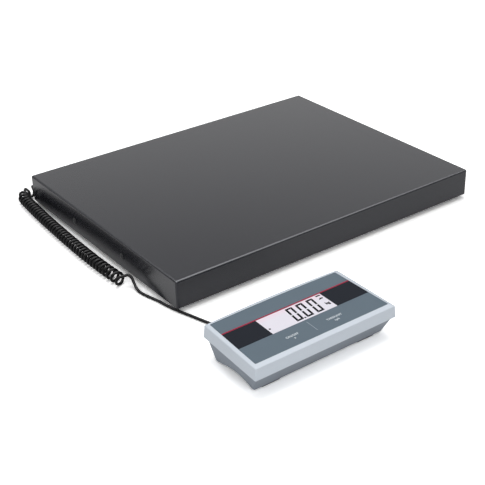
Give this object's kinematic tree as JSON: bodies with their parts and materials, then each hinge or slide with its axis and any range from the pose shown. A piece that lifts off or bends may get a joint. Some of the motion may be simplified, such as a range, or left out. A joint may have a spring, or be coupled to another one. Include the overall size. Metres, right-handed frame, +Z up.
{
  "type": "platform shipping scale",
  "caption": "Low platform scale with a folded steel cover on a single-point load cell, joined by a curly cord to a separate indicator with a display and membrane keys.",
  "frame": {"origin": "on the floor under the middle of the object's box, cord left out", "axes": "+X along the platform's long side to the right, +Y from the indicator's front to the platform's back, +Z up"},
  "size_m": [0.5528, 0.6363, 0.047],
  "materials": {
    "charcoal_paint": "satin powder coat",
    "black_paint": "satin paint on pressed steel",
    "zinc_steel": "zinc plated",
    "aluminium": "milled",
    "black_rubber": "matt",
    "black_flex": "smooth flexible sheath",
    "black_nylon": "moulded",
    "light_grey_abs": "fine moulded texture",
    "mid_grey_abs": "fine moulded texture",
    "slate_film": "printed polyester film",
    "clear_acrylic": "clear",
    "lcd_glass": "polished",
    "white_diffuser": "frosted",
    "green_board": "solder mask",
    "battery_sleeve": "printed sleeve"
  },
  "bodies": {
    "base": {"base_pan": "black_paint", "load_cell": "aluminium", "lower_spacer": "zinc_steel", "upper_spacer": "zinc_steel", "spider_frame": "black_paint", "cushion_1": "black_rubber", "cushion_2": "black_rubber", "cushion_3": "black_rubber", "cushion_4": "black_rubber", "overload_stop_1": "zinc_steel", "overload_stop_2": "zinc_steel", "overload_stop_3": "zinc_steel", "overload_stop_4": "zinc_steel", "cell_cable": "black_flex", "cord_gland": "black_nylon", "platform_lead": "black_flex", "curly_cord": "black_flex", "indicator_lead": "black_flex", "cord_boot": "black_nylon", "lower_housing": "mid_grey_abs", "battery_holder": "black_nylon", "battery_1": "battery_sleeve", "battery_2": "battery_sleeve", "battery_3": "battery_sleeve", "battery_4": "battery_sleeve", "power_jack": "black_nylon", "indicator_foot_1": "black_rubber", "indicator_foot_2": "black_rubber", "indicator_foot_3": "black_rubber", "indicator_foot_4": "black_rubber", "main_board": "green_board", "left_switch": "black_nylon", "right_switch": "black_nylon", "lcd_backlight": "white_diffuser", "lcd_panel": "lcd_glass", "display_window": "clear_acrylic", "upper_housing": "light_grey_abs", "overlay": "slate_film"},
    "cover": {"cover": "charcoal_paint", "cover_rib_1": "charcoal_paint", "cover_rib_2": "charcoal_paint", "hole_plug_1": "black_nylon", "hole_plug_2": "black_nylon"},
    "levelling_foot_1": {"foot_pad_1": "black_rubber", "foot_stud_1": "zinc_steel"},
    "levelling_foot_2": {"foot_pad_2": "black_rubber", "foot_stud_2": "zinc_steel"},
    "levelling_foot_3": {"foot_pad_3": "black_rubber", "foot_stud_3": "zinc_steel"},
    "levelling_foot_4": {"foot_pad_4": "black_rubber", "foot_stud_4": "zinc_steel"},
    "left_key": {"left_key": "slate_film"},
    "right_key": {"right_key": "slate_film"},
    "battery_door": {"battery_door": "mid_grey_abs"}
  },
  "joints": [
    {"name": "cover_lift", "type": "slide", "parent": "base", "child": "cover", "axis": [0, 0, 1], "range_m": [0, 0.08]},
    {"name": "foot_screw_1", "type": "slide", "parent": "base", "child": "levelling_foot_1", "axis": [0, 0, -1], "range_m": [0, 0.008]},
    {"name": "foot_screw_2", "type": "slide", "parent": "base", "child": "levelling_foot_2", "axis": [0, 0, -1], "range_m": [0, 0.008]},
    {"name": "foot_screw_3", "type": "slide", "parent": "base", "child": "levelling_foot_3", "axis": [0, 0, -1], "range_m": [0, 0.008]},
    {"name": "foot_screw_4", "type": "slide", "parent": "base", "child": "levelling_foot_4", "axis": [0, 0, -1], "range_m": [0, 0.008]},
    {"name": "left_key_press", "type": "slide", "parent": "base", "child": "left_key", "axis": [0, 0.0244, -0.9997], "range_m": [0, 0.0004], "stiffness_N_per_m": 1000},
    {"name": "right_key_press", "type": "slide", "parent": "base", "child": "right_key", "axis": [0, 0.0244, -0.9997], "range_m": [0, 0.0004], "stiffness_N_per_m": 1000},
    {"name": "battery_door_release", "type": "slide", "parent": "base", "child": "battery_door", "axis": [0, 0, -1], "range_m": [0, 0.004]}
  ]
}
